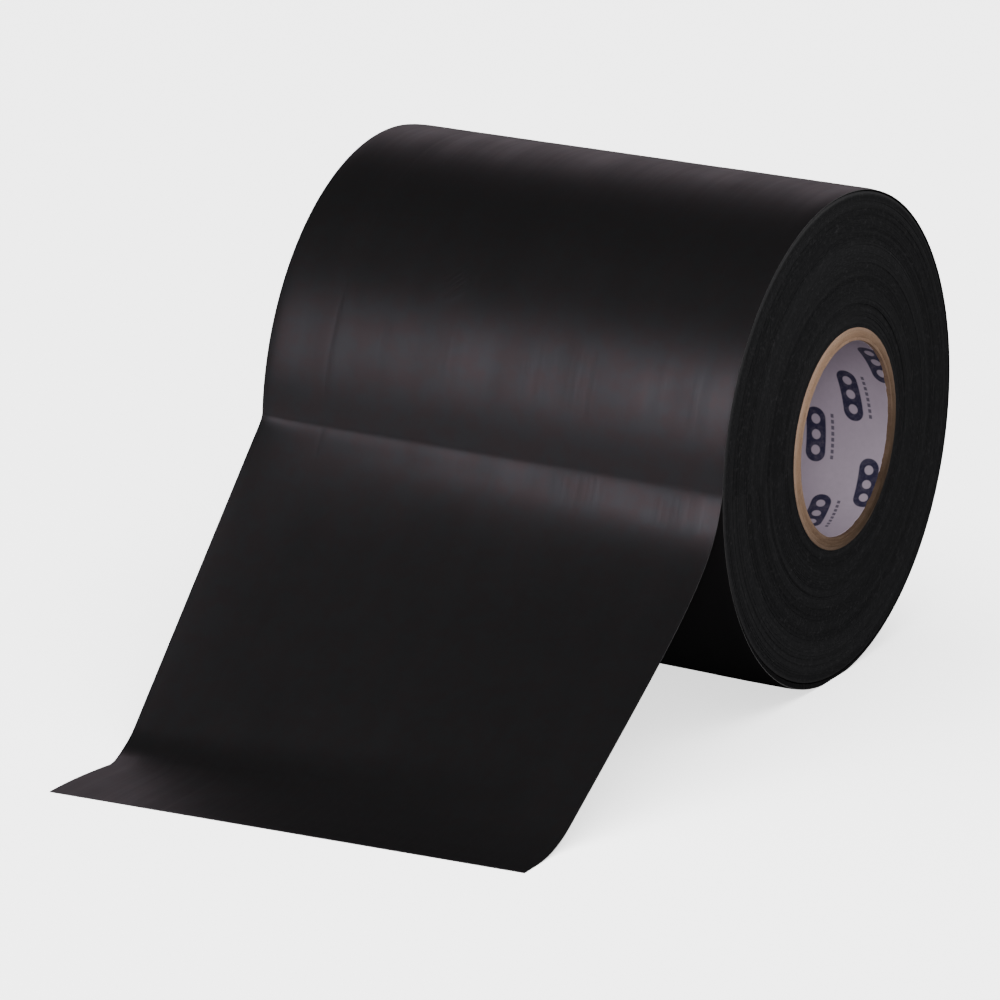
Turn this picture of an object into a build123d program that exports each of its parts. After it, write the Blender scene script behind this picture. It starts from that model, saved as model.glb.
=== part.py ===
"""A roll of wide black PVC tape with its free end pulled out to the front.

The roll lies on its side surface. Frame: +X along the core's bore, +Z up, the free end (tongue) points to
-Y. The origin is the centre of the core's bore. Millimetres. Each piece goes to its own STEP file.

From the inside out: a printed paper liner, four spiral-wound kraft plies, the wound tape, and the last
turn of tape, whose end is peeled off along a slightly slanted line and lies on the surface in front.
The roll is slightly dished, as wound rolls are: each turn sits a little further to +X than the turn
outside it, so the core stands out at the +X end and is set in at the -X end.
"""
import math
import os

from build123d import *

# Driving dimensions
TAPE_WIDTH = 100.0
ROLL_RADIUS = 48.3
BORE_RADIUS = 19.0
CORE_RADIUS = 21.6
LINER_THICKNESS = 0.15
PLY_COUNT = 4
FILM_THICKNESS = 0.13
ADHESIVE_THICKNESS = 0.05
TURNING_CLEARANCE = 0.05
DISH = 1.4

# The peel line, where the last turn becomes the tongue: its height over the bore's axis at each end,
# and the slit that keeps the tongue free of the last turn
PEEL_HEIGHT_LEFT = 3.2
PEEL_HEIGHT_RIGHT = 0.2
PEEL_SLIT = 0.25

# The tongue's two edges, from the peel line to the cut end: how far in front of the bore's axis the
# bend near the roll, the bend at the surface and the cut end are, the first bend's height over the
# surface, and the radius of each bend. The left edge is nearly straight; the right one bows.
LEFT_EDGE = {
    "first_bend": (54.5, 45.6),
    "foot_bend": 101.6,
    "cut_end": 128.6,
    "radii": (30.0, 9.0),
}
RIGHT_EDGE = {
    "first_bend": (53.4, 35.4),
    "foot_bend": 113.7,
    "cut_end": 126.1,
    "radii": (38.0, 25.0),
}

# Worked out from the above
SURFACE_Z = -ROLL_RADIUS
FILM_INNER_RADIUS = ROLL_RADIUS - FILM_THICKNESS
ADHESIVE_INNER_RADIUS = FILM_INNER_RADIUS - ADHESIVE_THICKNESS
PACK_RADIUS = ADHESIVE_INNER_RADIUS - TURNING_CLEARANCE
LINER_RADIUS = BORE_RADIUS + LINER_THICKNESS
PLY_THICKNESS = (CORE_RADIUS - LINER_RADIUS) / PLY_COUNT
TAPE_THICKNESS = FILM_THICKNESS + ADHESIVE_THICKNESS


def tube(inner_radius, outer_radius, shift=0.0):
    """A plain tube round the bore's axis, as long as the tape is wide, moved along the axis by shift."""
    start = Plane.YZ.offset(shift - TAPE_WIDTH / 2)
    ring = start * (Circle(outer_radius) - Circle(inner_radius))
    return extrude(ring, amount=TAPE_WIDTH)


def dished_pack():
    """The wound turns under the last one, as one ring whose end faces are shallow cones."""
    half = TAPE_WIDTH / 2
    corners = [
        (-half, PACK_RADIUS),
        (half, PACK_RADIUS),
        (half + DISH, CORE_RADIUS),
        (-half + DISH, CORE_RADIUS),
    ]
    section = make_face(Polyline(*corners, close=True))
    return revolve(section, Axis.X)


def last_turn(inner_radius, outer_radius):
    """A tube with a slit along the peel line, where the tape leaves it."""
    rise = PEEL_HEIGHT_LEFT - PEEL_HEIGHT_RIGHT
    slant = math.degrees(math.atan2(rise, TAPE_WIDTH))
    middle = (PEEL_HEIGHT_LEFT + PEEL_HEIGHT_RIGHT) / 2
    cutter = Box(2 * TAPE_WIDTH, 4 * TAPE_THICKNESS, PEEL_SLIT).rotate(Axis.Y, slant)
    return tube(inner_radius, outer_radius) - Pos(0, -ROLL_RADIUS, middle) * cutter


def edge_corners(edge, peel_height):
    """The corners (Y, Z) of the tongue's underside along one edge."""
    on_roll = -math.sqrt(ROLL_RADIUS**2 - peel_height**2) - PEEL_SLIT
    bend_front, bend_height = edge["first_bend"]
    return [
        (on_roll, peel_height),
        (-bend_front, SURFACE_Z + bend_height),
        (-edge["foot_bend"], SURFACE_Z),
        (-edge["cut_end"], SURFACE_Z),
    ]


def raised(corners, height):
    """The same corners moved up by a height measured square to each run of the strip."""
    headings = []
    for start, end in zip(corners, corners[1:]):
        headings.append(math.atan2(end[1] - start[1], end[0] - start[0]))
    headings = [headings[0]] + headings + [headings[-1]]
    moved = []
    for corner, before, after in zip(corners, headings, headings[1:]):
        turn = math.remainder(after - before, math.tau)
        normal = before + turn / 2 - math.pi / 2
        reach = height / math.cos(turn / 2)
        moved.append((corner[0] + reach * math.cos(normal), corner[1] + reach * math.sin(normal)))
    return moved


def strip_outline(x, edge, peel_height, low, high):
    """The closed outline of one edge of a layer that lies from low to high over the underside."""
    corners = edge_corners(edge, peel_height)
    points_low = [Vector(x, y, z) for y, z in raised(corners, low)]
    points_high = [Vector(x, y, z) for y, z in raised(corners, high)]
    radii_low = [radius - low for radius in edge["radii"]]
    radii_high = [radius - high for radius in edge["radii"]]
    underside = FilletPolyline(*points_low, radius=radii_low)
    top = FilletPolyline(*points_high, radius=radii_high)
    root = Line(points_low[0], points_high[0])
    cut_end = Line(points_low[-1], points_high[-1])
    return Wire(underside.edges() + top.edges() + [root, cut_end])


def tongue_layer(low, high):
    """One layer of the tongue, spanned from its left edge to its right edge."""
    left = strip_outline(-TAPE_WIDTH / 2, LEFT_EDGE, PEEL_HEIGHT_LEFT, low, high)
    right = strip_outline(TAPE_WIDTH / 2, RIGHT_EDGE, PEEL_HEIGHT_RIGHT, low, high)
    return Solid.make_loft([left, right], ruled=True)


def save(name, shape):
    export_step(shape, f"parts/{name}.step")


os.makedirs("parts", exist_ok=True)

save("core_liner", tube(BORE_RADIUS, LINER_RADIUS, shift=DISH))
for ply in range(PLY_COUNT):
    ply_inner_radius = LINER_RADIUS + ply * PLY_THICKNESS
    save(f"core_ply_{ply + 1}", tube(ply_inner_radius, ply_inner_radius + PLY_THICKNESS, shift=DISH))
save("wound_tape", dished_pack())
save("last_turn_adhesive", last_turn(ADHESIVE_INNER_RADIUS, FILM_INNER_RADIUS))
save("last_turn_film", last_turn(FILM_INNER_RADIUS, ROLL_RADIUS))
save("tongue_adhesive", tongue_layer(0.0, ADHESIVE_THICKNESS))
save("tongue_film", tongue_layer(ADHESIVE_THICKNESS, TAPE_THICKNESS))
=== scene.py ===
"""Looks for a roll of wide black PVC tape: the strip with its peeled tongue, the wound turns, the paper core.

Lengths are in millimetres up to the point where a mesh is made. The frame has +X along the bore and +Z up,
and the tongue points to -Y. Angles round the bore start at the front (-Y) and grow upwards.
"""
import math

import bmesh
import bpy
import numpy as np
from mathutils import Matrix, Vector


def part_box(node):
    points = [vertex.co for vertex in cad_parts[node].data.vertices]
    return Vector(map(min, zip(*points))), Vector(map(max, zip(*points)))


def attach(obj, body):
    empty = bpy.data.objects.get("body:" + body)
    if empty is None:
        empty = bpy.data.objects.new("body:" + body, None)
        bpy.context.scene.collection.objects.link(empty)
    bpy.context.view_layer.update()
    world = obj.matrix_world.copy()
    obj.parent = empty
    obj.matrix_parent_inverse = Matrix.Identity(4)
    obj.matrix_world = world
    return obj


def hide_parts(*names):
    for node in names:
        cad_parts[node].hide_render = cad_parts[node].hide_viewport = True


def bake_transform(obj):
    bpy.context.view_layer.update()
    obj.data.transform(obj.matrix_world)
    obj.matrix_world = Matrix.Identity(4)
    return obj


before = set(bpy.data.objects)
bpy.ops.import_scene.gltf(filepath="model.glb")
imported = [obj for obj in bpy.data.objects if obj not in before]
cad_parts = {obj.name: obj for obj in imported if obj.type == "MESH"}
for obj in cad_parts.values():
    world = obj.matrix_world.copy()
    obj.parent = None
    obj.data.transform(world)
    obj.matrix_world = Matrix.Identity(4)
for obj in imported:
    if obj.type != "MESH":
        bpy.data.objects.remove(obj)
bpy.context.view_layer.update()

MM = 0.001
TURN = 2 * math.pi


def cad_box(node):
    low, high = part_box(node)
    return np.array(low) / MM, np.array(high) / MM


# Sizes that the frame gives
last_turn_low, last_turn_high = cad_box("last_turn_film")
tongue_low, _ = cad_box("tongue_film")
_, pack_high = cad_box("wound_tape")
ROLL_RADIUS = last_turn_high[2]
SURFACE_Z = last_turn_low[2]
HALF_WIDTH = last_turn_high[0]
DISH = pack_high[0] - HALF_WIDTH
LINER_THICKNESS = 0.15
BORE_RADIUS = cad_box("core_liner")[1][2] - LINER_THICKNESS
CORE_RADIUS = cad_box("core_ply_4")[1][2]
CUT_END_LEFT = tongue_low[1]

# The tape
FILM_THICKNESS = 0.13
ADHESIVE_THICKNESS = 0.05
TAPE_THICKNESS = FILM_THICKNESS + ADHESIVE_THICKNESS
EDGE_SET_BACK = 0.06
EDGE_DROP = 0.16           # the rounded shoulder near both edges of the roll
EDGE_DROP_WIDTH = 2.4
PEEL_HEIGHT_LEFT = 4.0
PEEL_HEIGHT_RIGHT = 3.0

# The tongue's two edges
CUT_END_RIGHT = CUT_END_LEFT + 2.5
LEFT_SLOPE = 44.05         # degrees below level
RIGHT_SLOPE = 30.4
LEFT_EASE = (0.0, 0.0, 1.0)         # extra angle, where it starts to go, over what length
RIGHT_EASE = (36.0, 5.5, 10.8)
LEFT_FOOT_RADIUS = 12.0
RIGHT_FOOT_RADIUS = 25.0
DRAW_IN = 2.1              # how far the left edge is drawn in where it bends at the foot
DRAW_IN_PLACE = 18.2       # how far that is from the cut end
DRAW_IN_FADE = 5.8         # over what length it goes again, further up
SAG = 2.0                  # how far the tongue's face sinks in beside its straight left edge
LOOSE_FIT = 0.95           # how far the last turn hangs away low down at the right end
LOOSE_ANGLE = -67.0


# ---------------------------------------------------------------- helpers

def new_object(name, vertices, faces, material, body=None, replaced=()):
    """A smooth-shaded mesh object, from vertices in millimetres."""
    mesh = bpy.data.meshes.new(name)
    mesh.from_pydata((np.asarray(vertices) * MM).tolist(), [], faces)
    mesh.polygons.foreach_set("use_smooth", [True] * len(mesh.polygons))
    mesh.set_sharp_from_angle(angle=math.radians(35))
    mesh.update()
    mesh.validate()
    mesh.materials.append(material)
    piece = bpy.data.objects.new(name, mesh)
    bpy.context.scene.collection.objects.link(piece)
    if body:
        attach(piece, body)
    if replaced:
        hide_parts(*replaced)
    return piece


def smoothstep(low, high, value):
    t = np.clip((np.asarray(value, float) - low) / (high - low), 0, 1)
    return t * t * (3 - 2 * t)


def wander(count, step, seed, closed=False):
    """Smooth random values of about unit size, one for each of count places, with a knot every step."""
    rng = np.random.default_rng(seed)
    knots = max(3, int(round(count / step)))
    values = rng.normal(size=knots + (0 if closed else 2))
    if closed:
        values = np.append(values, values[0])
        place = np.linspace(0, knots, count, endpoint=False)
    else:
        place = np.linspace(0, knots, count)
    index = np.floor(place).astype(int)
    part = smoothstep(0, 1, place - index)
    return values[index] * (1 - part) + values[index + 1] * part


def loose_fit(x, angle):
    """How far the last turn hangs away at a place on the roll; the angle is in radians."""
    away = (np.degrees(angle) - LOOSE_ANGLE + 180) % 360 - 180
    return LOOSE_FIT * smoothstep(5, 52, x) * np.exp(-(away / 30) ** 2)


class Nodes:
    """A short way to build a material's node tree."""

    def __init__(self, name):
        self.material = bpy.data.materials.new(name)
        self.material.use_nodes = True
        self.tree = self.material.node_tree
        self.shader = self.tree.nodes["Principled BSDF"]

    def add(self, kind, inputs=None, **settings):
        node = self.tree.nodes.new(kind)
        for key, value in settings.items():
            setattr(node, key, value)
        for key, value in (inputs or {}).items():
            self.set(node.inputs[key], value)
        return node

    def set(self, socket, value):
        if isinstance(value, bpy.types.NodeSocket):
            self.tree.links.new(value, socket)
        elif isinstance(value, bpy.types.Node):
            self.tree.links.new(value.outputs[0], socket)
        else:
            socket.default_value = value

    def math(self, operation, a, b=0.0, c=0.0):
        return self.add("ShaderNodeMath", {0: a, 1: b, 2: c}, operation=operation).outputs[0]

    def noise(self, vector, scale, detail=3.0, roughness=0.5):
        inputs = {"Vector": vector, "Scale": scale, "Detail": detail, "Roughness": roughness}
        return self.add("ShaderNodeTexNoise", inputs).outputs["Fac"]

    def remap(self, value, low, high, out_low, out_high, smooth=False):
        inputs = {"Value": value, "From Min": low, "From Max": high, "To Min": out_low, "To Max": out_high}
        kind = "SMOOTHSTEP" if smooth else "LINEAR"
        return self.add("ShaderNodeMapRange", inputs, interpolation_type=kind).outputs["Result"]

    def mix(self, factor, a, b):
        node = self.add("ShaderNodeMix", data_type="RGBA")
        self.set(node.inputs[0], factor)
        self.set(node.inputs[6], a)
        self.set(node.inputs[7], b)
        return node.outputs[2]

    def vector(self, x, y, z=0.0):
        return self.add("ShaderNodeCombineXYZ", {0: x, 1: y, 2: z}).outputs[0]

    def split(self, vector):
        return self.add("ShaderNodeSeparateXYZ", {0: vector}).outputs

    def bump(self, height, distance_mm, strength=1.0, normal=None):
        inputs = {"Height": height, "Distance": distance_mm * MM, "Strength": strength}
        if normal is not None:
            inputs["Normal"] = normal
        return self.add("ShaderNodeBump", inputs).outputs[0]

    def finish(self, **inputs):
        for key, value in inputs.items():
            self.set(self.shader.inputs[key.replace("_", " ")], value)
        return self.material


# ---------------------------------------------------------------- materials

def film_material():
    """Black PVC: satin, with fine lengthwise streaks and a faint pebble. UV is (across, along) in mm."""
    n = Nodes("black_pvc_film")
    across, along, _ = n.split(n.add("ShaderNodeUVMap", uv_map="strip").outputs[0])
    streaks = n.vector(n.math("MULTIPLY", across, 1.1), n.math("MULTIPLY", along, 0.012))
    streaks = n.noise(streaks, 1.0, 4.0, 0.6)
    bands = n.vector(n.math("MULTIPLY", across, 0.16), n.math("MULTIPLY", along, 0.006))
    bands = n.noise(bands, 1.0, 2.0)
    pebble = n.noise(n.vector(across, along), 1.6, 3.0, 0.6)
    clouds = n.noise(n.vector(across, along), 0.09, 3.0, 0.55)
    dust = n.noise(n.vector(across, along), 3.2, 2.0, 0.7)

    height = n.math("ADD", n.math("MULTIPLY", streaks, 0.30), n.math("MULTIPLY", pebble, 0.8))
    normal = n.bump(height, 0.02, 0.65)
    normal = n.bump(bands, 0.10, 0.30, normal)

    # one fine line that runs round the roll near its left end, broken here and there
    from_line = n.math("ABSOLUTE", n.math("SUBTRACT", across, 13.5))
    line = n.remap(from_line, 0.0, 0.9, 1.0, 0.0, smooth=True)
    line = n.math("MULTIPLY", line, n.remap(bands, 0.3, 0.6, 0.3, 1.0))
    # a small patch of slanting creases high on the front
    patch_x = n.math("DIVIDE", n.math("SUBTRACT", across, 36.0), 4.5)
    patch_y = n.math("DIVIDE", n.math("SUBTRACT", along, 272.0), 5.0)
    patch = n.math("MULTIPLY_ADD", patch_x, patch_x, n.math("MULTIPLY", patch_y, patch_y))
    patch = n.remap(patch, 0.0, 1.0, 1.0, 0.0, smooth=True)
    slant = n.math("ADD", across, n.math("MULTIPLY", along, 0.8))
    slant = n.vector(slant, n.math("MULTIPLY", along, 0.15))
    creases = n.noise(slant, 1.1, 2.0)
    marks = n.math("MULTIPLY_ADD", creases, patch, n.math("MULTIPLY", line, -0.15))
    normal = n.bump(marks, 0.14, 0.6, normal)
    rough = n.math("ADD", n.remap(streaks, 0.3, 0.7, 0.37, 0.42), n.remap(bands, 0.3, 0.7, -0.03, 0.03))
    rough = n.math("ADD", rough, n.remap(clouds, 0.35, 0.65, -0.015, 0.02))
    colour = n.mix(n.remap(dust, 0.62, 0.8, 0.0, 0.35), (0.0155, 0.0148, 0.0155, 1), (0.025, 0.0237, 0.025, 1))
    tint = n.mix(n.remap(n.noise(n.vector(across, along), 0.22, 3.0, 0.6), 0.4, 0.6, 0.0, 1.0),
                 (1.0, 0.77, 0.86, 1.0), (0.91, 0.86, 0.99, 1.0))
    return n.finish(Base_Color=colour, Roughness=rough, Normal=normal, IOR=1.52, Specular_Tint=tint)


def cut_edge_material():
    """The cut edge of the film: greyer than its face."""
    n = Nodes("film_cut_edge")
    place = n.add("ShaderNodeTexCoord").outputs["Object"]
    grain = n.noise(place, 900.0, 3.0)
    colour = n.mix(grain, (0.10, 0.098, 0.10, 1), (0.22, 0.215, 0.22, 1))
    return n.finish(Base_Color=colour, Roughness=0.5)


def adhesive_material():
    """Black rubber adhesive: tacky and glossy, drawn into fine ridges where it let go of the turn below."""
    n = Nodes("black_adhesive")
    across, along, _ = n.split(n.add("ShaderNodeUVMap", uv_map="strip").outputs[0])
    ridges = n.vector(n.math("MULTIPLY", across, 0.5), n.math("MULTIPLY", along, 1.4))
    ridges = n.noise(ridges, 1.0, 4.0, 0.6)
    grain = n.noise(n.vector(across, along), 2.5, 3.0)
    normal = n.bump(n.math("ADD", ridges, n.math("MULTIPLY", grain, 0.4)), 0.05, 0.7)
    colour = n.mix(grain, (0.010, 0.010, 0.011, 1), (0.022, 0.021, 0.022, 1))
    return n.finish(Base_Color=colour, Roughness=n.remap(ridges, 0.3, 0.7, 0.22, 0.40), Normal=normal)


def wound_side_material():
    """The stacked cut edges of the turns: dull black, dusty, with fine rings and handling scratches."""
    n = Nodes("wound_tape_edges")
    place = n.add("ShaderNodeTexCoord").outputs["Object"]
    x, y, z = n.split(place)
    radius = n.math("SQRT", n.math("ADD", n.math("MULTIPLY", y, y), n.math("MULTIPLY", z, z)))
    radius_mm = n.math("MULTIPLY", radius, 1000.0)
    angle = n.math("ARCTAN2", z, y)
    polar = n.vector(n.math("MULTIPLY", radius_mm, 2.4), n.math("MULTIPLY", angle, 0.5))
    rings = n.noise(polar, 1.0, 4.0, 0.7)
    wide_rings = n.vector(n.math("MULTIPLY", radius_mm, 0.5), n.math("MULTIPLY", angle, 0.15))
    wide_rings = n.noise(wide_rings, 1.0, 2.0)
    speck = n.noise(place, 1500.0, 3.0, 0.65)
    fuzz = n.noise(place, 420.0, 4.0, 0.7)
    tangled = n.noise(n.vector(y, z), 55.0, 2.0)
    scratch_map = {"Vector": place, "Rotation": (0.7, 0.0, 0.0), "Scale": (1, 1900, 90)}
    scratch_place = n.add("ShaderNodeMapping", scratch_map)
    scratches = n.remap(n.noise(scratch_place, 1.0, 2.0), 0.70, 0.78, 0.0, 1.0)
    scratches = n.math("MULTIPLY", scratches, n.remap(tangled, 0.5, 0.62, 0.0, 1.0))
    height = n.math("ADD", n.math("MULTIPLY", rings, 1.0), n.math("MULTIPLY", speck, 0.5))
    normal = n.bump(height, 0.06, 0.8)
    dusty = n.math("MULTIPLY", n.remap(speck, 0.50, 0.72, 0.0, 1.0), n.remap(fuzz, 0.4, 0.65, 0.25, 1.0))
    dusty = n.math("MULTIPLY", dusty, n.remap(rings, 0.35, 0.65, 0.5, 1.0))
    colour = n.mix(dusty, (0.021, 0.021, 0.0225, 1), (0.078, 0.076, 0.080, 1))
    colour = n.mix(n.remap(wide_rings, 0.40, 0.62, 0.0, 0.25), colour, (0.055, 0.055, 0.058, 1))
    colour = n.mix(n.math("MULTIPLY", scratches, 0.6), colour, (0.15, 0.147, 0.15, 1))
    # painted highlight: a lighter band near the outer edge of the wound side, standing in for the light its
    # rounded edge catches
    rim = n.remap(radius_mm, ROLL_RADIUS - 1.3, ROLL_RADIUS - 0.8, 0.0, 0.4, smooth=True)
    colour = n.mix(rim, colour, (0.075, 0.073, 0.076, 1))
    return n.finish(Base_Color=colour, Roughness=n.remap(rings, 0.3, 0.7, 0.48, 0.66), Normal=normal,
                    Specular_IOR_Level=0.4)


# painted shade: which side of the core's end is painted darker
PAINTED_SHADE_ANGLE = math.radians(-50)      # the side of the core's end that is darker


def kraft_material(name, light, dark, seed):
    """Kraft board with fibres: each ply a slightly different brown."""
    n = Nodes(name)
    place = n.add("ShaderNodeTexCoord").outputs["Object"]
    moved = n.add("ShaderNodeMapping", {"Vector": place, "Location": (seed, 0.3 * seed, 0)})
    fibres = n.noise(n.add("ShaderNodeMapping", {"Vector": moved, "Scale": (350, 1400, 1400)}), 1.0, 5.0, 0.7)
    blotches = n.noise(moved, 260.0, 3.0)
    grit = n.noise(moved, 2600.0, 3.0, 0.7)
    colour = n.mix(fibres, dark, light)
    colour = n.mix(n.remap(blotches, 0.35, 0.7, 0.0, 0.45), colour, dark)
    colour = n.mix(n.remap(grit, 0.58, 0.72, 0.0, 0.5), colour, (0.16, 0.085, 0.035, 1))
    # painted shade: one side of the core is darker, painted here because no light or shape gave it
    _, y, z = n.split(place)
    painted_shade_side = n.math("MULTIPLY", z, math.sin(PAINTED_SHADE_ANGLE))
    painted_shade_side = n.math("MULTIPLY_ADD", y, math.cos(PAINTED_SHADE_ANGLE), painted_shade_side)
    reach = CORE_RADIUS * MM
    painted_shade_side = n.remap(painted_shade_side, -reach, reach, 0.0, 0.88)
    painted_shade_side = n.math("ADD", painted_shade_side, n.remap(blotches, 0.3, 0.7, -0.04, 0.04))
    colour = n.mix(painted_shade_side, colour, (0.028, 0.019, 0.011, 1))
    normal = n.bump(n.math("ADD", fibres, n.math("MULTIPLY", grit, 0.6)), 0.12, 0.7)
    return n.finish(Base_Color=colour, Roughness=0.85, Normal=normal, Specular_IOR_Level=0.25)


# The liner's print: a pill with three dots and a row of dashes, repeated on a slanting lattice.
# UV is (along the bore, round the bore) in mm; the strip of paper is wound as a helix.
LINER_ROUND = TURN * BORE_RADIUS
LINER_PITCH = 63.0
SEAM_START = -26.0
PRINT_STEP_ONE = (7.0, -9.0)
PRINT_STEP_TWO = (6.2, 17.4)
PRINT_START = (36.0, 66.1)


def printed_paper_material():
    """White paper with a generic dark blue pattern, wound as a helix with a seam."""
    n = Nodes("printed_liner_paper")
    x, arc, _ = n.split(n.add("ShaderNodeUVMap", uv_map="strip").outputs[0])
    # follow the helix, so that the print only breaks at the paper's seam
    climb = n.math("MULTIPLY", arc, LINER_PITCH / LINER_ROUND)
    lead = n.math("SUBTRACT", n.math("SUBTRACT", x, SEAM_START), climb)
    turn = n.math("FLOOR", n.math("DIVIDE", lead, LINER_PITCH))
    from_seam = n.math("SUBTRACT", lead, n.math("MULTIPLY", turn, LINER_PITCH))
    arc = n.math("ADD", arc, n.math("MULTIPLY", turn, LINER_ROUND))
    dx = n.math("SUBTRACT", x, PRINT_START[0])
    da = n.math("SUBTRACT", arc, PRINT_START[1])
    # nearest lattice point
    (ax, aa), (bx, ba) = PRINT_STEP_ONE, PRINT_STEP_TWO
    area = ax * ba - aa * bx
    first = n.math("MULTIPLY_ADD", dx, ba / area, n.math("MULTIPLY", da, -bx / area))
    second = n.math("MULTIPLY_ADD", dx, -aa / area, n.math("MULTIPLY", da, ax / area))
    first = n.math("ROUND", first)
    second = n.math("ROUND", second)
    dx = n.math("SUBTRACT", dx, n.math("MULTIPLY_ADD", first, ax, n.math("MULTIPLY", second, bx)))
    da = n.math("SUBTRACT", da, n.math("MULTIPLY_ADD", first, aa, n.math("MULTIPLY", second, ba)))
    # lean the mark a little
    dx = n.math("MULTIPLY_ADD", da, -0.16, dx)

    def inside(distance, soft=0.12):
        return n.remap(distance, -soft, soft, 1.0, 0.0, smooth=True)

    def pill(cx, half_x, half_a, round_off):
        qx = n.math("SUBTRACT", n.math("ABSOLUTE", n.math("SUBTRACT", dx, cx)), half_x - round_off)
        qa = n.math("SUBTRACT", n.math("ABSOLUTE", da), half_a - round_off)
        qx = n.math("MAXIMUM", qx, 0.0)
        qa = n.math("MAXIMUM", qa, 0.0)
        length = n.math("SQRT", n.math("MULTIPLY_ADD", qx, qx, n.math("MULTIPLY", qa, qa)))
        return n.math("SUBTRACT", length, round_off)

    badge = inside(pill(0.0, 2.1, 5.3, 2.0))
    dot_place = n.math("SUBTRACT", n.math("FRACT", n.math("ADD", n.math("DIVIDE", da, 3.0), 0.5)), 0.5)
    dot_place = n.math("MULTIPLY", dot_place, 3.0)
    dot = n.math("SQRT", n.math("MULTIPLY_ADD", dx, dx, n.math("MULTIPLY", dot_place, dot_place)))
    dots = n.math("MULTIPLY", inside(n.math("SUBTRACT", dot, 0.95)), inside(pill(0.0, 1.2, 4.3, 0.1)))
    mark = n.math("SUBTRACT", badge, dots)
    dash_place = n.math("FRACT", n.math("DIVIDE", da, 1.15))
    dash = n.remap(n.math("ABSOLUTE", n.math("SUBTRACT", dash_place, 0.5)), 0.26, 0.38, 1.0, 0.0)
    dashes = n.math("MULTIPLY", dash, inside(pill(3.6, 0.32, 4.6, 0.1)))
    mark = n.math("MAXIMUM", mark, n.math("MULTIPLY", dashes, 0.8))

    place = n.add("ShaderNodeTexCoord").outputs["Object"]
    fibre = n.noise(place, 900.0, 4.0, 0.65)
    blotch = n.noise(place, 130.0, 3.0)
    paper = n.mix(fibre, (0.55, 0.468, 0.558, 1), (0.66, 0.558, 0.66, 1))
    paper = n.mix(n.remap(blotch, 0.35, 0.7, 0.0, 0.4), paper, (0.51, 0.42, 0.516, 1))
    ink_cover = n.math("MULTIPLY", mark, n.remap(fibre, 0.25, 0.55, 0.82, 0.97))
    colour = n.mix(ink_cover, paper, (0.026, 0.025, 0.068, 1))
    # painted shadow: a thin dark line along the paper's seam, where the overlap's step would throw shade
    painted_seam_shadow = n.remap(from_seam, 0.0, 0.35, 1.0, 0.0)
    colour = n.mix(n.math("MULTIPLY", painted_seam_shadow, 0.55), colour, (0.20, 0.17, 0.19, 1))
    height = n.math("ADD", n.math("MULTIPLY", fibre, 0.35), n.remap(from_seam, 0.0, 0.4, 0.0, 1.0))
    return n.finish(Base_Color=colour, Roughness=n.remap(mark, 0.0, 1.0, 0.62, 0.45),
                    Normal=n.bump(height, 0.12, 0.5), Specular_IOR_Level=0.4)


# ---------------------------------------------------------------- the strip: last turn and tongue

def edge_path(peel_height, slope, crease, ease, foot_radius, cut_end, step=0.2):
    """(Y, Z) along one edge of the tongue, from the peel line to the cut end.

    The strip leaves the roll almost straight down, bends outwards within a crease and then eases to its
    slope (ease holds the extra angle, where it starts to go and over what length), and bends again at the
    foot, where it lies flat. Its top stands one tape thickness over the surface.
    """
    ease_angle, ease_start, ease_length = ease
    y = -math.sqrt(ROLL_RADIUS**2 - peel_height**2)
    z = peel_height
    leaving = 90 - math.degrees(math.asin(peel_height / ROLL_RADIUS))
    flat_z = SURFACE_Z + TAPE_THICKNESS
    points = [(y, z)]
    along = 0.0
    foot_angle = None
    while y > cut_end and len(points) < 4000:
        settled = slope + ease_angle * math.exp(-max(0.0, along - ease_start) / ease_length)
        heading = settled + (leaving - slope - ease_angle) * math.exp(-along / crease)
        angle = math.radians(heading)
        if foot_angle is None and z - flat_z <= foot_radius * (1 - math.cos(angle)):
            foot_angle = angle
        if foot_angle is not None:
            foot_angle = max(0.0, foot_angle - step / foot_radius)
            angle = foot_angle
        y -= step * math.cos(angle)
        z = max(flat_z, z - step * math.sin(angle))
        points.append((y, z))
        along += step
    points[-1] = (cut_end, flat_z)
    return np.array(points)


def at_share(path, share):
    """Points at equal shares of a path's length."""
    lengths = np.concatenate([[0], np.cumsum(np.hypot(*np.diff(path, axis=0).T))])
    wanted = share * lengths[-1]
    return np.stack([np.interp(wanted, lengths, path[:, k]) for k in (0, 1)], axis=1), lengths[-1]


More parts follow.
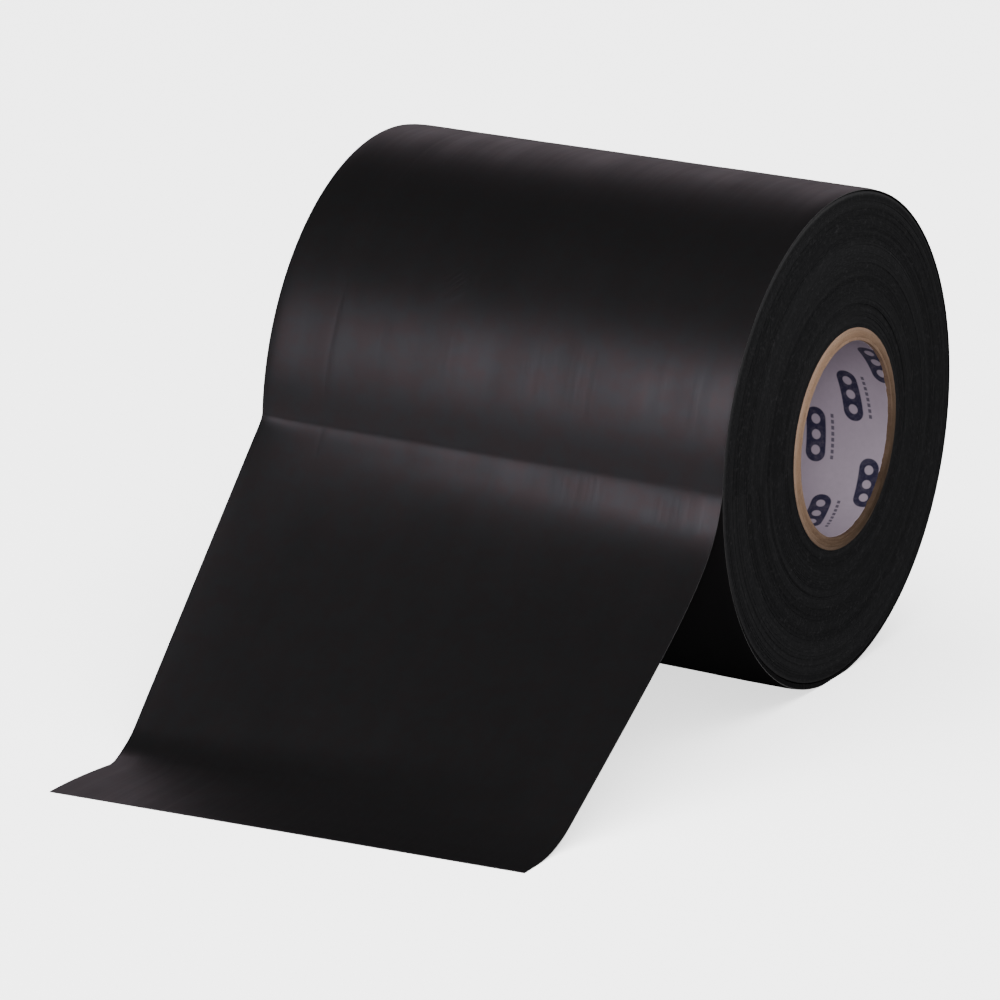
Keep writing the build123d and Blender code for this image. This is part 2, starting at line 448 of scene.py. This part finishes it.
def strip_surface():
    """The strip's outer face as points [along, across], its UV, and the fill under it, in millimetres."""
    across_count, tongue_count, ring_count = 72, 260, 300
    even = np.linspace(0, 1, across_count + 1)
    crowded = 0.5 - 0.5 * np.cos(math.pi * even)
    share = 0.35 * even + 0.65 * crowded
    width = 2 * HALF_WIDTH - EDGE_SET_BACK
    across = share * width
    x = across - HALF_WIDTH

    left = edge_path(PEEL_HEIGHT_LEFT, LEFT_SLOPE, 1.0, LEFT_EASE, LEFT_FOOT_RADIUS, CUT_END_LEFT)
    right = edge_path(PEEL_HEIGHT_RIGHT, RIGHT_SLOPE, 2.0, RIGHT_EASE, RIGHT_FOOT_RADIUS, CUT_END_RIGHT)
    down = np.linspace(0, 1, tongue_count + 1)[1:] ** 1.25
    left_points, left_length = at_share(left, down)
    right_points, right_length = at_share(right, down)
    from_left = left_points[:, None, :] * (1 - share)[None, :, None]
    tongue = from_left + right_points[:, None, :] * share[None, :, None]
    reach = down * (left_length + right_length) / 2

    # beside the left edge, the face sinks in just under the crease and comes back before the foot
    fall = np.where(reach < 24, 1 - (1 - np.minimum(reach, 24) / 24) ** 2, 1 - smoothstep(24, 76, reach))
    spread = 1.25 * (1 - np.exp(-share / 0.06)) * (1 - share) ** 1.2
    heading = np.gradient(tongue, axis=0)
    heading /= np.linalg.norm(heading, axis=2)[:, :, None]
    inwards = np.stack([-heading[:, :, 1], heading[:, :, 0]], axis=2)
    from_edge = np.minimum(across, width - across)
    shoulder = EDGE_DROP * np.clip(1 - from_edge / EDGE_DROP_WIDTH, 0, 1) ** 2
    sink = SAG * fall[:, None] * spread[None, :] + shoulder[None, :] * np.exp(-(reach[:, None] / 4) ** 2)
    tongue = tongue + sink[:, :, None] * np.abs(inwards) * [1, -1]

    peel_angle = np.arcsin((PEEL_HEIGHT_LEFT * (1 - share) + PEEL_HEIGHT_RIGHT * share) / ROLL_RADIUS)
    turned = np.linspace(0, TURN, ring_count + 1)
    radius = ROLL_RADIUS - TAPE_THICKNESS * (1 - turned / TURN)
    angle = peel_angle[None, :] - turned[:, None]
    # shallow bands that run round the roll
    ripple = 0.035 * wander(across_count + 1, 5, 11) + 0.02 * wander(across_count + 1, 2, 12)
    ridge = 0.008 * (np.tanh((across - 13.6) / 1.0) - np.tanh((across - 15.6) / 1.6))
    wave = (ripple + ridge)[None, :] * (0.6 + 0.4 * np.cos(angle + 0.4)) * np.sin(turned / 2)[:, None]
    ring_radius = np.minimum(radius[:, None] + wave, ROLL_RADIUS)
    ring_radius = ring_radius - shoulder[None, :]
    loose_radius = ring_radius + loose_fit(x[None, :], angle)
    ring_z = np.maximum(loose_radius * np.sin(angle), SURFACE_Z)
    ring = np.stack([-loose_radius * np.cos(angle), ring_z], axis=2)
    # what lies between the last turn and the tight ones: nothing at the ends of the turn
    stand_off = np.maximum(np.hypot(ring[:, :, 0], ring[:, :, 1]) - ring_radius, 0)
    stand_off = stand_off + EDGE_DROP - shoulder[None, :]
    stand_off *= (smoothstep(0, 0.12, turned) * smoothstep(TURN, TURN - 0.12, turned))[:, None]

    grid = np.concatenate([ring, tongue], axis=0)
    points = np.empty((grid.shape[0], grid.shape[1], 3))
    points[:, :, 0] = x[None, :]
    points[:, :, 1:] = grid
    from_cut = (1 - down) * left_length
    drawn = DRAW_IN * np.minimum(from_cut / DRAW_IN_PLACE, 1) ** 2
    drawn *= np.exp(-(np.maximum(from_cut - DRAW_IN_PLACE, 0) / DRAW_IN_FADE) ** 2)
    points[ring_count + 1:, :, 0] += drawn[:, None] * (1 - share[None, :]) ** 1.5
    along = np.concatenate([turned * ROLL_RADIUS, TURN * ROLL_RADIUS + reach])
    uv = np.stack(np.meshgrid(across, along), axis=2)
    under = np.concatenate([stand_off, np.zeros((tongue_count, across_count + 1))])
    return points, uv, under


def grid_normals(points):
    along = np.gradient(points, axis=0)
    across = np.gradient(points, axis=1)
    normal = np.cross(across, along)
    normal /= np.linalg.norm(normal, axis=2)[:, :, None]
    return normal


def strip_layer(name, points, uv, low, high, face_material, edge_material, replaced):
    """One layer of the strip, as a closed sheet from low to high under the outer face; high may vary."""
    normal = grid_normals(points)
    if normal[10, 10] @ np.array([0, points[10, 10, 1], points[10, 10, 2]]) < 0:
        normal = -normal
    rows, columns = points.shape[:2]
    top = points - normal * low
    bottom = points - normal * np.broadcast_to(high, points.shape[:2])[:, :, None]
    count = rows * columns
    vertices = np.concatenate([top.reshape(-1, 3), bottom.reshape(-1, 3)])
    i, j = np.meshgrid(np.arange(rows - 1), np.arange(columns - 1), indexing="ij")
    a = (i * columns + j).ravel()
    quads = np.stack([a, a + columns, a + columns + 1, a + 1], axis=1)
    faces = np.concatenate([quads, quads[:, ::-1] + count])
    loop = np.concatenate([
        np.arange(columns),
        np.arange(1, rows) * columns + columns - 1,
        (rows - 1) * columns + np.arange(columns - 2, -1, -1),
        np.arange(rows - 2, 0, -1) * columns,
    ])
    after = np.roll(loop, -1)
    walls = np.stack([loop, after, after + count, loop + count], axis=1)
    faces = np.concatenate([faces, walls]).tolist()
    piece = new_object(name, vertices, faces, face_material)
    mesh = piece.data
    mesh.materials.append(edge_material)
    wall_start = 2 * len(quads)
    indices = np.zeros(len(mesh.polygons), np.int32)
    indices[wall_start:] = 1
    mesh.polygons.foreach_set("material_index", indices)
    layer = mesh.uv_layers.new(name="strip")
    corner_vertices = np.zeros(len(mesh.loops), np.int32)
    mesh.loops.foreach_get("vertex_index", corner_vertices)
    layer.data.foreach_set("uv", uv.reshape(-1, 2)[corner_vertices % count].astype(np.float32).ravel())
    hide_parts(*replaced)
    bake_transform(piece)
    return piece


def build_strip():
    points, uv, under = strip_surface()
    adhesive = adhesive_material()
    strip_layer("tape_strip_film", points, uv, 0.0, FILM_THICKNESS, film_material(), cut_edge_material(),
                ["last_turn_film", "tongue_film"])
    strip_layer("tape_strip_adhesive", points, uv, FILM_THICKNESS, TAPE_THICKNESS + under, adhesive, adhesive,
                ["last_turn_adhesive", "tongue_adhesive"])


# ---------------------------------------------------------------- the wound turns

PACK_TURNS = 147
PACK_STEPS = 128


def build_wound_turns():
    """Every turn's two cut edges as real steps, joined by the inner and outer walls."""
    pack_radius = ROLL_RADIUS - 2 * TAPE_THICKNESS - EDGE_DROP - 0.02
    pitch = (pack_radius - CORE_RADIUS) / PACK_TURNS
    count = PACK_TURNS * PACK_STEPS + 1
    place = np.arange(count)
    turns = place / PACK_STEPS
    outer = CORE_RADIUS + pitch * turns
    inner = np.maximum(outer - pitch, CORE_RADIUS)
    angle = math.asin((PEEL_HEIGHT_LEFT + PEEL_HEIGHT_RIGHT) / 2 / ROLL_RADIUS) - turns * TURN

    # how far each turn stands out: single turns, groups of turns, and a few clear steps
    shift = 0.035 * wander(count, PACK_STEPS * 1.0, 21) + 0.05 * wander(count, PACK_STEPS * 5.0, 22)
    for step_turn, height in ((26, 0.09), (52, -0.08), (71, 0.06), (104, 0.07), (121, -0.06)):
        shift += height * (np.tanh((turns - step_turn) / 0.6) * np.exp(-np.maximum(turns - step_turn, 0) / 7))
    shift *= smoothstep(1.0, 3.0, turns) * smoothstep(PACK_TURNS, PACK_TURNS - 4.0, turns)

    def face(radius):
        """Where the right end stands: shallowly dished, rounded off over the outermost turns."""
        dished = HALF_WIDTH + DISH * (ROLL_RADIUS - radius) / (ROLL_RADIUS - CORE_RADIUS)
        shoulder = np.clip(1 - (pack_radius - radius) / 0.9, 0, 1)
        return dished - 0.06 - 0.25 * shoulder**2

    def left_face(radius):
        return -HALF_WIDTH + DISH * (ROLL_RADIUS - radius) / (ROLL_RADIUS - CORE_RADIUS)

    def corner(x, radius):
        return np.stack([x, -radius * np.cos(angle), radius * np.sin(angle)], axis=1)

    rings = [
        corner(face(inner) + shift, inner),
        corner(face(outer) + shift, outer),
        corner(left_face(inner) + shift, inner),
        corner(left_face(outer) + shift, outer),
    ]
    vertices = np.concatenate(rings)
    right_in, right_out, left_in, left_out = (place + k * count for k in range(4))
    m = np.arange(count - 1)
    parts = [
        np.stack([right_in[m], right_in[m + 1], right_out[m + 1], right_out[m]], axis=1),
        np.stack([left_in[m], left_out[m], left_out[m + 1], left_in[m + 1]], axis=1),
    ]
    w = np.arange(count - 1 - PACK_STEPS)
    nxt = w + PACK_STEPS
    parts.append(np.stack([right_out[w], right_out[w + 1], right_in[nxt + 1], right_in[nxt]], axis=1))
    parts.append(np.stack([left_out[w], left_in[nxt], left_in[nxt + 1], left_out[w + 1]], axis=1))
    first = np.arange(PACK_STEPS)
    parts.append(np.stack([right_in[first], left_in[first], left_in[first + 1], right_in[first + 1]], axis=1))
    last = np.arange(count - 1 - PACK_STEPS, count - 1)
    parts.append(np.stack([right_out[last], right_out[last + 1], left_out[last + 1], left_out[last]], axis=1))
    end = count - 1
    parts.append(np.array([[right_in[end], left_in[end], left_out[end], right_out[end]]]))
    faces = np.concatenate(parts).tolist()
    material = wound_side_material()
    piece = new_object("wound_turns", vertices, faces, material, "roll", ["wound_tape"])
    weld(piece)
    piece.data.polygons.foreach_set("use_smooth", [False] * len(piece.data.polygons))
    return piece


def weld(piece, distance=1e-7):
    """Joins vertices that share a place, drops faces with no area, and turns the faces outwards."""
    work = bmesh.new()
    work.from_mesh(piece.data)
    bmesh.ops.remove_doubles(work, verts=work.verts, dist=distance)
    bmesh.ops.dissolve_degenerate(work, dist=distance, edges=work.edges)
    bmesh.ops.recalc_face_normals(work, faces=work.faces)
    work.to_mesh(piece.data)
    work.free()


# ---------------------------------------------------------------- the core

def domed_end(radius):
    """How far the core's end stands out past the wound turns: most at the bore, rolled off outwards."""
    part = (radius - BORE_RADIUS) / (CORE_RADIUS - BORE_RADIUS)
    return 0.40 - 0.30 * part**2


def tube_piece(name, inner, outer, fray, seed, material, node, set_in=0.0):
    """A paper tube whose ends are cut a little unevenly and rolled off at the rim."""
    around = 384
    angle = np.arange(around) / around * TURN

    def ragged(start):
        uneven = wander(around, 9, start, closed=True) + wander(around, 3, start + 1, closed=True)
        return np.abs(fray * 0.5 * uneven)

    right = HALF_WIDTH + DISH - set_in - ragged(seed)
    left = -HALF_WIDTH + DISH + set_in + ragged(seed + 2)
    radii = np.linspace(inner, outer, 5)
    rise = [domed_end(radius) - (0.04 if radius in (inner, outer) else 0.0) for radius in radii]
    profile = [(inner, share, 0.0) for share in np.linspace(0.01, 0.99, 24)]
    profile += [(radius, 1.0, out) for radius, out in zip(radii, rise)]
    profile += [(outer, share, 0.0) for share in np.linspace(0.99, 0.01, 24)]
    profile += [(radius, 0.0, -out) for radius, out in zip(radii[::-1], rise[::-1])]
    rows = []
    for radius, share, out in profile:
        x = left + share * (right - left) + out
        rows.append(np.stack([x, -radius * np.cos(angle), radius * np.sin(angle)], axis=1))
    vertices = np.concatenate(rows)
    count = len(profile)
    row, k = np.meshgrid(np.arange(count), np.arange(around), indexing="ij")
    after, beside = (row + 1) % count, (k + 1) % around
    here, there = row * around, after * around
    quads = np.stack([here + k, there + k, there + beside, here + beside], axis=2)
    piece = new_object(name, vertices, quads.reshape(-1, 4).tolist(), material, "roll", [node])
    arc = np.stack([k, k, k + 1, k + 1], axis=2) / around * TURN * inner
    uv = np.stack([vertices[quads][:, :, :, 0], arc], axis=3)
    layer = piece.data.uv_layers.new(name="strip")
    layer.data.foreach_set("uv", uv.astype(np.float32).ravel())
    return piece


def build_core():
    tans = [
        ((0.84, 0.57, 0.41, 1), (0.60, 0.370, 0.245, 1)),
        ((0.74, 0.49, 0.34, 1), (0.50, 0.305, 0.195, 1)),
        ((0.80, 0.54, 0.38, 1), (0.57, 0.355, 0.230, 1)),
        ((0.88, 0.61, 0.45, 1), (0.66, 0.420, 0.290, 1)),
    ]
    liner_radius = BORE_RADIUS + LINER_THICKNESS
    thickness = (CORE_RADIUS - liner_radius) / len(tans)
    ends = (0.06, 0.0, 0.03, 0.05)
    for k, ((light, dark), set_in) in enumerate(zip(tans, ends)):
        inner = liner_radius + k * thickness
        material = kraft_material(f"kraft_ply_{k + 1}", light, dark, 3.1 * (k + 1))
        tube_piece(f"kraft_ply_{k + 1}", inner, inner + thickness, 0.05, 40 + 10 * k, material,
                   f"core_ply_{k + 1}", set_in)
    tube_piece("liner_paper", BORE_RADIUS, liner_radius, 0.14, 90, printed_paper_material(),
               "core_liner", 0.85)


# ---------------------------------------------------------------- studio

WHITE = 4.4          # how bright the backdrop is
FLOOR_GLOW = 1.6


def build_floor():
    """A pale floor that glows a little, so that the black roll stands on near-white with a weak shadow."""
    n = Nodes("studio_floor")
    place = n.add("ShaderNodeTexCoord").outputs["Object"]
    x, y, _ = n.split(place)
    away = n.math("SQRT", n.math("MULTIPLY_ADD", x, x, n.math("MULTIPLY", y, y)))
    glow = n.remap(away, 0.8, 4.0, FLOOR_GLOW, WHITE, smooth=True)
    tone = n.noise(place, 3.0, 2.0)
    colour = n.mix(tone, (0.87, 0.87, 0.87, 1), (0.89, 0.89, 0.89, 1))
    n.finish(Base_Color=colour, Roughness=0.9, Specular_IOR_Level=0.1, Emission_Color=(1, 1, 1, 1),
             Emission_Strength=glow)
    half = 6.0
    mesh = bpy.data.meshes.new("studio_floor")
    z = SURFACE_Z * MM
    corners = [(-half, -half, z), (half, -half, z), (half, half, z), (-half, half, z)]
    mesh.from_pydata(corners, [], [(0, 1, 2, 3)])
    mesh.materials.append(n.material)
    floor = bpy.data.objects.new("studio_floor", mesh)
    bpy.context.scene.collection.objects.link(floor)
    floor.visible_glossy = False
    floor.visible_diffuse = False
    return floor


def direction(azimuth, elevation):
    """From the object towards a place. Azimuth 0 is the front (-Y), and it grows towards +X."""
    a, e = math.radians(azimuth), math.radians(elevation)
    return Vector((math.sin(a) * math.cos(e), -math.cos(a) * math.cos(e), math.sin(e)))


def softbox(name, azimuth, elevation, distance, width, height, power, colour=(1, 1, 1)):
    data = bpy.data.lights.new(name, "AREA")
    data.shape = "RECTANGLE"
    data.size = width
    data.size_y = height
    data.energy = power
    data.color = colour
    lamp = bpy.data.objects.new(name, data)
    bpy.context.scene.collection.objects.link(lamp)
    towards = direction(azimuth, elevation)
    lamp.location = towards * distance
    lamp.rotation_mode = "QUATERNION"
    lamp.rotation_quaternion = towards.to_track_quat("Z", "Y")
    lamp.visible_camera = False
    return lamp


def build_lights(floor):
    softbox("key_front_left", -17, 25, 0.6, 0.25, 0.32, 0.98)
    softbox("back_left", -155, 16, 1.6, 1.2, 0.95, 1.7, (1.0, 0.86, 0.94))
    softbox("top_edge", 38, 67, 1.2, 0.3, 0.3, 0.40)
    softbox("right_side", 75, 40, 1.6, 0.9, 0.9, 1.0)
    softbox("back_right", 140, 18, 1.6, 0.9, 0.9, 2.4)
    # the pale table in front, as the film mirrors it
    table = softbox("table_mirror", 0, 90, 0.001, 0.36, 0.5, 0.40)
    table.location = (-0.14, -0.38, SURFACE_Z * MM + 0.001)
    table.rotation_quaternion = Matrix.Rotation(math.pi, 4, "X").to_quaternion()
    # soft fills with no highlight of their own
    front = softbox("front_fill", 42, 22, 1.8, 1.2, 1.2, 16.0)
    dome = softbox("overhead", 0, 90, 2.4, 4.0, 4.0, 24.0)
    front.visible_glossy = False
    dome.visible_glossy = False
    bounce = softbox("floor_bounce", 0, 90, 0.001, 1.6, 1.6, 1.2)
    bounce.location = (0, 0, SURFACE_Z * MM + 0.0003)
    bounce.rotation_quaternion = Matrix.Rotation(math.pi, 4, "X").to_quaternion()
    bounce.visible_glossy = False
    # lights the floor only; the roll still throws its shadow
    wash = softbox("floor_wash", 0, 90, 3.0, 5.0, 5.0, 480.0)
    only_floor = bpy.data.collections.new("only_floor")
    only_floor.objects.link(floor)
    wash.light_linking.receiver_collection = only_floor
    wash.visible_glossy = False

    world = bpy.data.worlds.new("studio_world")
    world.use_nodes = True
    background = world.node_tree.nodes["Background"]
    background.inputs["Color"].default_value = (1.0, 1.0, 1.0, 1)
    background.inputs["Strength"].default_value = WHITE
    world.cycles_visibility.glossy = False
    world.cycles_visibility.diffuse = False
    bpy.context.scene.world = world


def build_camera():
    data = bpy.data.cameras.new("camera")
    data.sensor_width = 36.0
    data.lens = 357.1
    data.clip_start = 0.1
    data.clip_end = 30.0
    camera = bpy.data.objects.new("camera", data)
    bpy.context.scene.collection.objects.link(camera)
    target = Vector((-24.35, 0.0, -23.65)) * MM
    back = direction(28.91, 17.84)
    camera.location = target + back * 1.9445
    camera.rotation_mode = "QUATERNION"
    tilt = Matrix.Rotation(math.radians(-0.367), 4, "Z").to_quaternion()
    camera.rotation_quaternion = back.to_track_quat("Z", "Y") @ tilt
    bpy.context.scene.camera = camera


build_camera()
build_strip()
build_wound_turns()
build_core()
build_lights(build_floor())
